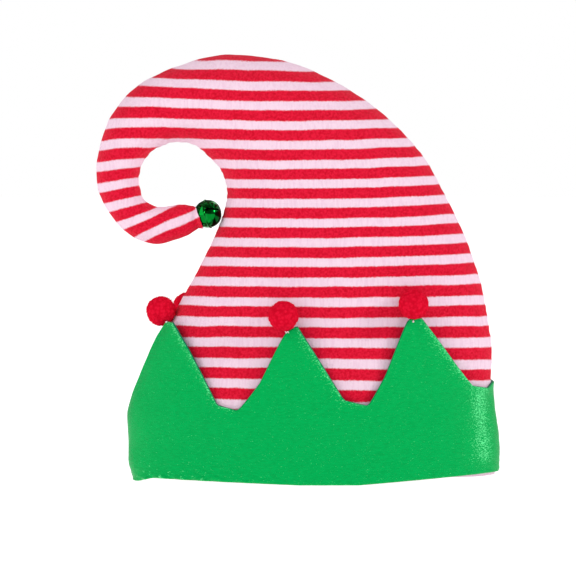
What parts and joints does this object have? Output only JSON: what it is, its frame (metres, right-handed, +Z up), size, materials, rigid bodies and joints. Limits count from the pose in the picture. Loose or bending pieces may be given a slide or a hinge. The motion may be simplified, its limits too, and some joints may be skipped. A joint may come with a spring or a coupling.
{
  "type": "elf hat",
  "caption": "Striped plush elf hat with a curled tip, a jingle bell at its end and a green cuff of points with pompoms.",
  "frame": {"origin": "middle of the bottom of the bounding box, on the plane that the hem stands on", "axes": "+X to the right as worn with the curl on the left, +Y to the far side, +Z up"},
  "size_m": [0.3148, 0.1334, 0.3345],
  "materials": {
    "striped_plush": "short pile plush, red bands between narrower pale pink-white ones",
    "green_velour": "velour with a sheen",
    "red_yarn": "matt cut yarn",
    "green_bell": "glossy metallic green",
    "steel": "dull"
  },
  "bodies": {
    "root": {"crown": "striped_plush", "cuff": "green_velour", "pompom_1": "red_yarn", "pompom_2": "red_yarn", "pompom_3": "red_yarn", "pompom_4": "red_yarn", "pompom_5": "red_yarn", "pompom_6": "red_yarn", "bell": "green_bell", "bell_pellet": "steel"}
  },
  "joints": []
}
